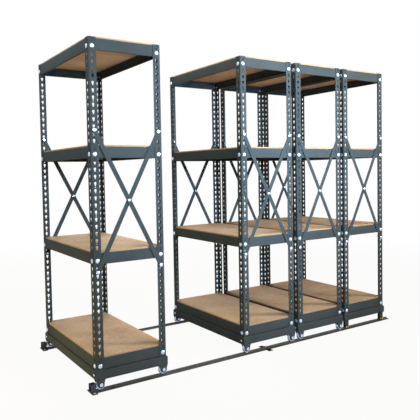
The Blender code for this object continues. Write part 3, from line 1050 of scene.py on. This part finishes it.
@dataclass
class CrossBraces(BayPart):
    """Two crossed flat bars on the front and rear faces of a bay."""

    posts: PostSet
    width: float = 0.026
    wall: float = 0.0025
    low_keyhole: int = 13
    span_keyholes: int = 20
    gap: float = 0.0003
    bevel: float = 0.0005
    bow_steps: int = 12
    tip_steps: int = 8
    bolt: Bolt = Bolt(radius=0.0106, height=0.0042, dimple=0.0018)
    centre_bolt: Bolt = Bolt(radius=0.0085, height=0.003, dimple=0.0018)

    def build(self) -> None:
        """Makes the bay's braces and their bolts."""
        across = self.bay.high.x - self.bay.low.x - 2 * self.posts.row
        rise = self.span_keyholes * self.posts.pitch
        low_hole = self.posts.foot + self.low_keyhole * self.posts.pitch + self.posts.brace_hole_rise
        centre = Vector((*self.bay.middle.xy, self.bay.low.z + low_hole + rise / 2))
        slope = math.atan2(rise, across)
        length = math.hypot(across, rise)
        grip = self.gap + self.wall
        for side in (Side.FRONT, Side.REAR):
            face = side.place(centre, (self.bay.high.y - self.bay.low.y) / 2)
            bars = [(self._bar(length, 0.0), [face @ turned_by(-slope, "Y")]),
                    (self._bar(length, self.wall), [face @ turned_by(slope, "Y")])]
            self.make("brace_bars", Finish.POWDER_COAT, bars, f"_{side.label}",
                      f"brace_{self.bay.letter}_{side.label}")
            seats = [face @ shift(x, -grip, z)
                     for x in (-across / 2, across / 2) for z in (-rise / 2, rise / 2)]
            bolts = self.bolt.fitted(seats, grip + self.posts.wall)
            bolts += self.centre_bolt.fitted([face @ shift(y=-grip - self.wall)], 2 * self.wall)
            self.make("brace_bolts", Finish.ZINC, bolts, f"_{side.label}")

    def _bar(self, length: float, bow: float) -> Mesh:
        """One bar along X, its inner face at y = -gap, bowed outward at the middle.

        Args:
            length: Distance between its end bolts.
            bow: How far its middle stands out.

        Returns:
            The mould.
        """
        outline = [point for end, start in ((length / 2, -90), (-length / 2, 90))
                   for point in arc((end, 0), self.width / 2, start, start + 180, self.tip_steps)]
        shape = slab(outline, self.wall, self.bevel, 1)
        for step in range(1, self.bow_steps):
            x = length * (step / self.bow_steps - 0.5)
            bmesh.ops.bisect_plane(shape, geom=shape.verts[:] + shape.edges[:] + shape.faces[:], dist=WELD,
                                   plane_co=(x, 0, 0), plane_no=(1, 0, 0))
        for point in shape.verts:
            share = min(1.0, abs(point.co.x) / (length / 2))
            point.co.y -= self.gap + self.wall + bow * (0.5 + 0.5 * math.cos(math.pi * share))
        return mould(shape)


@dataclass
class Support(BayPart):
    """What stands under one corner of a bay, placed where the channel's underside is over the track."""

    node: str
    corner: Corner
    place: Matrix
    wall: float = 0.003
    cheek_bevel: float = 0.0006

    @property
    def tail(self) -> str:
        """End of its pieces' names."""
        return f"_{self.corner.label}"

    def cheeks(self, outline: Outline, pocket: float) -> Stamps:
        """Two upright plates of an outline, either side of a pocket."""
        cheek = mould(slab(outline, self.wall, self.cheek_bevel))
        return cheek, [self.place @ shift(y=-pocket / 2 - self.wall), self.place @ shift(y=pocket / 2)]


@dataclass
class WheelFork(Support):
    """A fork of two round-tipped cheeks, with a grooved wheel on its axle bolt."""

    width: float = 0.0545
    lap: float = 0.002
    tip_radius: float = 0.017
    tip_angle: float = 12.0
    tip_steps: int = 12
    pocket: float = 0.024
    wheel_radius: float = 0.025
    tread_radius: float = 0.0217
    wheel_width: float = 0.022
    groove: float = 0.006
    groove_fillet: float = 0.0006
    flange_slope: float = 0.002
    hub_radius: float = 0.0095
    bore: float = 0.0053
    web_recess: float = 0.003
    rim_wall: float = 0.0035
    rim_ease: float = 0.001
    wheel_steps: int = 40
    axle_height: float = 0.0345
    axle_radius: float = 0.0048
    axle_steps: int = 16
    bolt: Bolt = Bolt(HeadStyle.HEX, radius=0.0110, height=0.0055)
    nut: Bolt = Bolt(HeadStyle.HEX, radius=0.0095, height=0.0065)

    def build(self) -> None:
        """Makes the cheeks, the axle bolt and the wheel."""
        drop = self.axle_height - self.place.translation.z
        tip = arc((0, drop), self.tip_radius, -self.tip_angle, self.tip_angle - 180, self.tip_steps)
        outline = [(self.width / 2, self.lap), *tip, (-self.width / 2, self.lap)]
        self.make("wheel_fork", Finish.POWDER_COAT, [self.cheeks(outline, self.pocket)], self.tail, self.node)
        outer = self.pocket / 2 + self.wall
        seat = self.place @ shift(y=-outer, z=drop)
        far = self.place @ shift(y=outer, z=drop) @ turned_by(math.pi, "Z")
        shank = [(0.0, 0.0), (self.axle_radius, 0.0), (self.axle_radius, 2 * outer), (0.0, 2 * outer)]
        bolt = [*self.bolt.fitted([seat]), (turned(shank, self.axle_steps), [seat]), *self.nut.fitted([far])]
        self.make("axle_bolt", Finish.ZINC, bolt, self.tail, self.node)
        name = f"wheel_{self.bay.letter}{self.tail}"
        centre = shift(*self.place.translation.xy, self.axle_height)
        self.workshop.piece(f"grooved_{name}", Finish.ZINC, name, [(self.wheel(), [centre])], name)

    def wheel(self) -> Mesh:
        """A grooved wheel with a recessed web and a hub.

        Returns:
            The mould, its axle along Y.
        """
        half, rim = self.wheel_width / 2, self.wheel_radius
        web, inner = half - self.web_recess, rim - self.rim_wall
        upper = [
            (self.bore, half), (self.hub_radius, half), (self.hub_radius, web), (inner - self.rim_ease, web),
            (inner, half), (rim - self.rim_ease, half), (rim, half - self.rim_ease),
            (rim, self.groove + self.flange_slope), (self.tread_radius + self.groove_fillet, self.groove),
            (self.tread_radius, self.groove - self.groove_fillet),
        ]
        return turned(upper + [(radius, -along) for radius, along in reversed(upper)], self.wheel_steps)


@dataclass
class SaddleFoot(Support):
    """A foot astride the rail, with a pair of yellow bolts."""

    width: float = 0.035
    pocket: float = 0.016
    level: float = 0.0048
    bolt_level: float = 0.0133
    bolt_spread: float = 0.009
    bolt: Bolt = Bolt(HeadStyle.HEX, radius=0.0062, height=0.0042)

    def build(self) -> None:
        """Makes the foot and its bolts."""
        bottom = self.place.translation.z
        outer, half = self.pocket / 2 + self.wall, self.width / 2
        outline = [(half, 0), (half, self.level - bottom), (-half, self.level - bottom), (-half, 0)]
        plate = block((self.width, 2 * outer, self.wall))
        foot = [self.cheeks(outline, self.pocket), (plate, [self.place @ shift(z=-self.wall / 2)])]
        self.make("saddle_foot", Finish.POWDER_COAT, foot, self.tail, self.node)
        seats = [self.place @ shift(x, -outer, self.bolt_level - bottom)
                 for x in (-self.bolt_spread, self.bolt_spread)]
        self.make("foot_bolts", Finish.YELLOW_ZINC, self.bolt.fitted(seats), self.tail)


@dataclass
class Undercarriage(BayPart):
    """A ring of channel under a bay, with a wheel fork or a saddle foot at each corner."""

    flange: float = 0.040
    wall: float = 0.0025
    bend: float = 0.006
    bend_steps: int = 6
    inner_bend_steps: int = 3
    height: float = 0.0508
    mitre_gap: float = 0.0002
    track_inset: float = 0.015
    setback: float = 0.0275
    side_bolt_inset: float = 0.028
    side_bolt: Bolt = Bolt(radius=0.0066, height=0.0035, dimple=0.0014, sides=12)

    def build(self) -> None:
        """Makes the carriage of a rolling bay, or the base of the fixed one."""
        kind, support = ("base", SaddleFoot) if self.bay.letter == FIXED_BAY else ("carriage", WheelFork)
        node = f"{kind}_{self.bay.letter}"
        low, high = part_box(node)
        track_y = {-1: "track_front_left", 1: "track_rear_left"}
        track_y = {side: sum(corner.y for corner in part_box(name)) / 2 for side, name in track_y.items()}
        centre = Vector(((low.x + high.x) / 2, sum(track_y.values()) / 2, high.z - self.height))
        half_depth = (track_y[1] - track_y[-1]) / 2 + self.track_inset
        channels, seats = [], []
        for side in Side:
            across, reach = side.lengths((high.x - low.x) / 2, half_depth)
            face = side.place(centre, reach)
            channels.append((bar(self.section(), 2 * (across - self.mitre_gap), mitred=True), [face]))
            if side in (Side.LEFT, Side.RIGHT):
                reach = across - self.side_bolt_inset
                seats += [face @ shift(x, z=self.height / 2) for x in (-reach, reach)]
        self.make("channel_ring", Finish.POWDER_COAT, channels, node=node)
        self.make("channel_bolts", Finish.ZINC, self.side_bolt.fitted(seats))
        for corner in Corner:
            side_x, side_y, _ = corner.value
            x = low.x + self.setback if side_x < 0 else high.x - self.setback
            place = shift(x, track_y[side_y], centre.z) @ turned_by(0 if side_y < 0 else math.pi, "Z")
            support(self.workshop, self.bay, node, corner, place).build()

    def section(self) -> Outline:
        """Section of the channel, its web outwards.

        Returns:
            Its points, as (inward, up) from its outer lower edge.
        """
        inner = self.bend - self.wall
        lower, upper = (self.bend, self.bend), (self.bend, self.height - self.bend)
        return [
            (self.flange, 0), *arc(lower, self.bend, 270, 180, self.bend_steps),
            *arc(upper, self.bend, 180, 90, self.bend_steps), (self.flange, self.height),
            (self.flange, self.height - self.wall), *arc(upper, inner, 90, 180, self.inner_bend_steps),
            *arc(lower, inner, 180, 270, self.inner_bend_steps), (self.flange, self.wall),
        ]


@dataclass
class Track:
    """A floor track of two lengths, with its joint clips and its end stop."""

    workshop: Workshop
    side: Side
    base_height: float = 0.0045
    rail_width: float = 0.010
    rail_round: float = 0.0025
    rail_fillet: float = 0.0008
    rail_steps: int = 5
    clip_wall: float = 0.0025
    clip_gap: float = 0.0003
    clip_lap: float = 0.010
    clip_foot: float = 0.030
    clip_bend: float = 0.002
    clip_bend_steps: int = 3
    clip_crease: float = 0.0005
    stop_depth: float = 0.036
    stop_wall: float = 0.003
    stop_inset: float = 0.0005
    stop_sink: float = 0.0005
    stop_foot_height: float = 0.0045
    stop_foot_bevel: float = 0.0008
    stop_bend: float = 0.0035
    stop_bend_steps: int = 4
    screw: Bolt = Bolt(radius=0.0075, height=0.0035, dimple=0.0016, sides=12)

    def build(self) -> None:
        """Makes the two lengths, the clips and the stop."""
        for end in ("left", "right"):
            self._length(f"{self.side.label}_{end}")
        self._clips()
        self._stop()

    def make(self, kind: str, finish: Finish, groups: Iterable[Stamps], node: str = "") -> None:
        """Makes a piece named after its kind and the track's side, in place of a CAD node if one is given."""
        self.workshop.piece(f"{kind}_{self.side.label}", finish, ROOT_BODY, groups, node)

    def _length(self, label: str) -> None:
        """Makes one length: a flat base with a round-topped rail.

        Args:
            label: Its side and end, as its CAD node has them.
        """
        low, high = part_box(f"track_{label}")
        base, rail = (high.y - low.y) / 2, self.rail_width / 2
        crown = (rail - self.rail_round, high.z - low.z - self.rail_round)
        right = [
            (base, 0), (base, self.base_height), (rail + self.rail_fillet, self.base_height),
            (rail, self.base_height + self.rail_fillet), *arc(crown, self.rail_round, 0, 90, self.rail_steps),
        ]
        length = bar(right + [(-y, z) for y, z in reversed(right)], high.x - low.x)
        place = shift((low.x + high.x) / 2, (low.y + high.y) / 2, low.z)
        self.workshop.piece(f"running_track_{label}", Finish.TRACK, ROOT_BODY, [(length, [place])],
                            f"track_{label}")

    def _clips(self) -> None:
        """Makes the bent clips at the joint of the two lengths, the outer one with a floor screw."""
        node = f"track_clip_{self.side.label}"
        low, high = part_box(node)
        track_low, track_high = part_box(f"track_{self.side.label}_left")
        edge = (track_low.y - track_high.y) / 2 - self.clip_gap
        foot_end, lap_end = edge - self.clip_foot, edge + self.clip_lap
        top, wall, crease = high.z, self.clip_wall, self.clip_crease
        bend = (edge - wall + self.clip_bend, top - self.clip_bend)
        clip = bar([
            (foot_end, 0), (edge - crease, 0), (edge, crease), (edge, top - wall), (lap_end, top - wall),
            (lap_end, top), *arc(bend, self.clip_bend, 90, 180, self.clip_bend_steps),
            (edge - wall, wall + crease), (edge - wall - crease, wall), (foot_end, wall),
        ], high.x - low.x)
        place = shift((low.x + high.x) / 2, (track_low.y + track_high.y) / 2) @ self.side.turn
        seat = place @ shift(y=(foot_end + edge - wall) / 2, z=wall) @ UPRIGHT
        self.make("joint_clip", Finish.OXIDE, [(clip, [place])], node)
        self.make("inner_clip", Finish.OXIDE, [(clip, [place @ turned_by(math.pi, "Z")])])
        self.make("clip_screw", Finish.OXIDE, self.screw.fitted([seat]))

    def _stop(self) -> None:
        """Makes the end stop: plate folded to a U on a long foot, open at its top and its outer side."""
        node = f"end_stop_{self.side.label}"
        low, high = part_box(node)
        x, y, _ = (low + high) / 2
        width, length, _ = high - low
        foot_top = low.z + self.stop_foot_height
        foot = block((width, length, self.stop_foot_height), self.stop_foot_bevel)
        walls = self._folded_plate(width / 2 - self.stop_inset, high.z - foot_top + self.stop_sink)
        stop = [(foot, [shift(x, y, low.z + self.stop_foot_height / 2)]),
                (walls, [shift(x, y, foot_top - self.stop_sink)])]
        self.make("stop_box", Finish.BLACK, stop, node)
        reach = (self.stop_depth + length) / 4
        seats = [shift(x, y + way, foot_top) @ UPRIGHT for way in (-reach, reach)]
        self.make("stop_bolts", Finish.ZINC, self.screw.fitted(seats))

    def _folded_plate(self, half_x: float, height: float) -> Mesh:
        """A plate folded to a U in plan, with two round folds, open towards -X.

        Args:
            half_x: Half its length along X.
            height: How high it stands.

        Returns:
            The mould, standing on z = 0.
        """
        half_y, radius = self.stop_depth / 2, self.stop_bend
        path = [
            (-half_x, -half_y),
            *arc((half_x - radius, radius - half_y), radius, 270, 360, self.stop_bend_steps),
            *arc((half_x - radius, half_y - radius), radius, 0, 90, self.stop_bend_steps),
            (-half_x, half_y),
        ]
        walls = bmesh.new()
        chain = [walls.verts.new((x, y, 0)) for x, y in path]
        rim = [walls.edges.new(pair) for pair in zip(chain, chain[1:])]
        raised(walls, bmesh.ops.extrude_edge_only(walls, edges=rim), (0, 0, height))
        bmesh.ops.recalc_face_normals(walls, faces=walls.faces)
        outward = walls.faces[:][0]
        if outward.normal.dot(outward.calc_center_median()) < 0:
            bmesh.ops.reverse_faces(walls, faces=walls.faces)
        bmesh.ops.solidify(walls, geom=walls.faces[:], thickness=self.stop_wall)
        return mould(walls)


@dataclass(frozen=True)
class Lamp:
    """A square soft box."""

    name: str
    place: Triple
    aim: Triple
    size: float
    watts: float
    tint: Triple = WHITE
    spread: float = 180.0

    def build(self) -> None:
        """Adds the lamp to the scene."""
        data = bpy.data.lights.new(self.name, "AREA")
        data.shape = "SQUARE"
        data.size = self.size
        data.energy = self.watts
        data.color = self.tint
        data.spread = math.radians(self.spread)
        lamp = bpy.data.objects.new(self.name, data)
        lamp.location = self.place
        lamp.rotation_euler = (Vector(self.aim) - Vector(self.place)).to_track_quat("-Z", "Y").to_euler()
        lamp.visible_camera = False
        bpy.context.scene.collection.objects.link(lamp)


@dataclass
class Studio:
    """Camera, floor, backdrop light and lamps."""

    camera_place: Triple = (-2.2389, -3.1727, 1.1748)
    heading: float = 0.5866
    pitch: float = 0.0417
    roll: float = 0.0177
    focal_pixels: float = 539.651
    photo_size: int = 420
    centre_row: float = 193.976
    sensor: float = 36.0
    floor_size: float = 60.0
    floor_cells: int = 8
    floor_drop: float = 0.0002
    floor_tone: Triple = (0.64, 0.56, 0.45)
    floor_glow_share: float = 0.95
    floor_glow_from: float = 1.8
    floor_glow_full: float = 7.0
    ambient: float = 0.15
    ambient_tone: Triple = (1.0, 0.82, 0.5)
    lamps: tuple[Lamp, ...] = (
        Lamp("right_box", (4.2, -3.6, 2.4), (-0.1, -0.45, 1.8), 1.5, 52.0, (1.0, 0.98, 0.96), 60.0),
        Lamp("front_box", (0.1, -4.4, 1.7), (0.0, -0.45, 1.5), 0.8, 19.5, (0.42, 0.71, 1.0), 45.0),
        Lamp("front_left_box", (-2.2, -4.2, 2.6), (-0.7, -0.45, 1.6), 1.0, 9.8, (0.74, 0.97, 1.0), 65.0),
        Lamp("front_top_box", (0.6, -2.3, 3.1), (0.2, -0.45, 1.8), 1.0, 8.9, (1.0, 0.82, 0.52), 80.0),
        Lamp("aisle_box", (-0.55, 0.0, 3.1), (0.0, 0.0, 1.7), 1.2, 11.0, (1.0, 0.84, 0.60), 120.0),
        Lamp("left_low_box", (-1.9, 0.0, 0.12), (-1.2, 0.0, 0.12), 0.6, 5.2, (1.0, 0.67, 0.13)),
        Lamp("left_high_box", (-2.3, 0.1, 2.7), (-1.2, 0.0, 1.7), 0.6, 18.2, (0.88, 0.97, 1.0)),
        Lamp("rear_box", (0.6, 4.4, 2.8), (0.0, 0.0, 0.8), 2.5, 56.5, (1.0, 0.89, 0.79)),
        Lamp("rear_low_box", (0.4, 3.2, 1.1), (0.2, 0.0, 0.4), 1.6, 14.4, (1.0, 0.81, 0.85)),
    )

    def build(self) -> None:
        """Makes the whole studio and sets the view transform."""
        self._camera()
        self._floor()
        self._world()
        for lamp in self.lamps:
            lamp.build()
        bpy.context.scene.view_settings.view_transform = "Standard"

    def _camera(self) -> None:
        """The camera at the photograph's place, with its lens and shift."""
        data = bpy.data.cameras.new("camera")
        data.sensor_width = self.sensor
        data.lens = self.focal_pixels / self.photo_size * self.sensor
        data.shift_y = (self.centre_row - self.photo_size / 2) / self.photo_size
        camera = bpy.data.objects.new("camera", data)
        turn = turned_by(-self.heading, "Z") @ turned_by(QUARTER - self.pitch, "X")
        camera.matrix_world = shift(*self.camera_place) @ turn @ turned_by(-self.roll, "Z")
        bpy.context.scene.collection.objects.link(camera)
        bpy.context.scene.camera = camera

    def _floor(self) -> None:
        """A pale floor that a camera sees nearly white, with the rack's soft shadow on it."""
        material = bpy.data.materials.new("pale_floor")
        material.use_nodes = True
        material.node_tree.nodes.clear()
        graph = Graph(material.node_tree)
        diffuse = graph.add("BsdfDiffuse", {"Color": (*self.floor_tone, 1.0)})
        glow = graph.add("Emission", {"Color": (*WHITE, 1.0), "Strength": 1.0})
        place = graph.add("TexCoord").outputs["Object"]
        reach = graph.add("VectorMath", {0: place}, operation="LENGTH").outputs["Value"]
        far = graph.ramp(reach, self.floor_glow_from, self.floor_glow_full)
        share = graph.product(graph.looked_at(), graph.span(far, self.floor_glow_share, 1.0))
        graph.put_out("OutputMaterial", share, diffuse, glow)
        shape = bmesh.new()
        bmesh.ops.create_grid(shape, x_segments=self.floor_cells, y_segments=self.floor_cells,
                              size=self.floor_size / 2, matrix=shift(z=-self.floor_drop))
        mesh = bpy.data.meshes.new("floor")
        shape.to_mesh(mesh)
        shape.free()
        mesh.materials.append(material)
        floor = bpy.data.objects.new("floor", mesh)
        bpy.context.scene.collection.objects.link(floor)

    def _world(self) -> None:
        """White to the camera and in reflections, and a plain dim fill on matt surfaces."""
        world = bpy.data.worlds.new("studio_world")
        world.use_nodes = True
        world.node_tree.nodes.clear()
        graph = Graph(world.node_tree)
        fill = graph.add("Background", {"Color": (*self.ambient_tone, 1.0), "Strength": self.ambient})
        white = graph.add("Background", {"Color": (*WHITE, 1.0), "Strength": 1.0})
        graph.put_out("OutputWorld", graph.looked_at(), fill, white)
        bpy.context.scene.world = world


def main() -> None:
    """Builds the studio and every sub-assembly around the frame."""
    logging.basicConfig(level=logging.INFO, format="%(name)s: %(message)s")
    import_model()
    workshop = Workshop()
    Studio().build()
    for bay in map(Bay.from_frame, BAY_LETTERS):
        posts = PostSet(workshop, bay)
        posts.build()
        ShelfFrames(workshop, bay, posts).build()
        CrossBraces(workshop, bay, posts).build()
        Undercarriage(workshop, bay).build()
    for side in (Side.FRONT, Side.REAR):
        Track(workshop, side).build()
    LOG.info("%d pieces made", workshop.made)


if __name__ == "__main__":
    main()
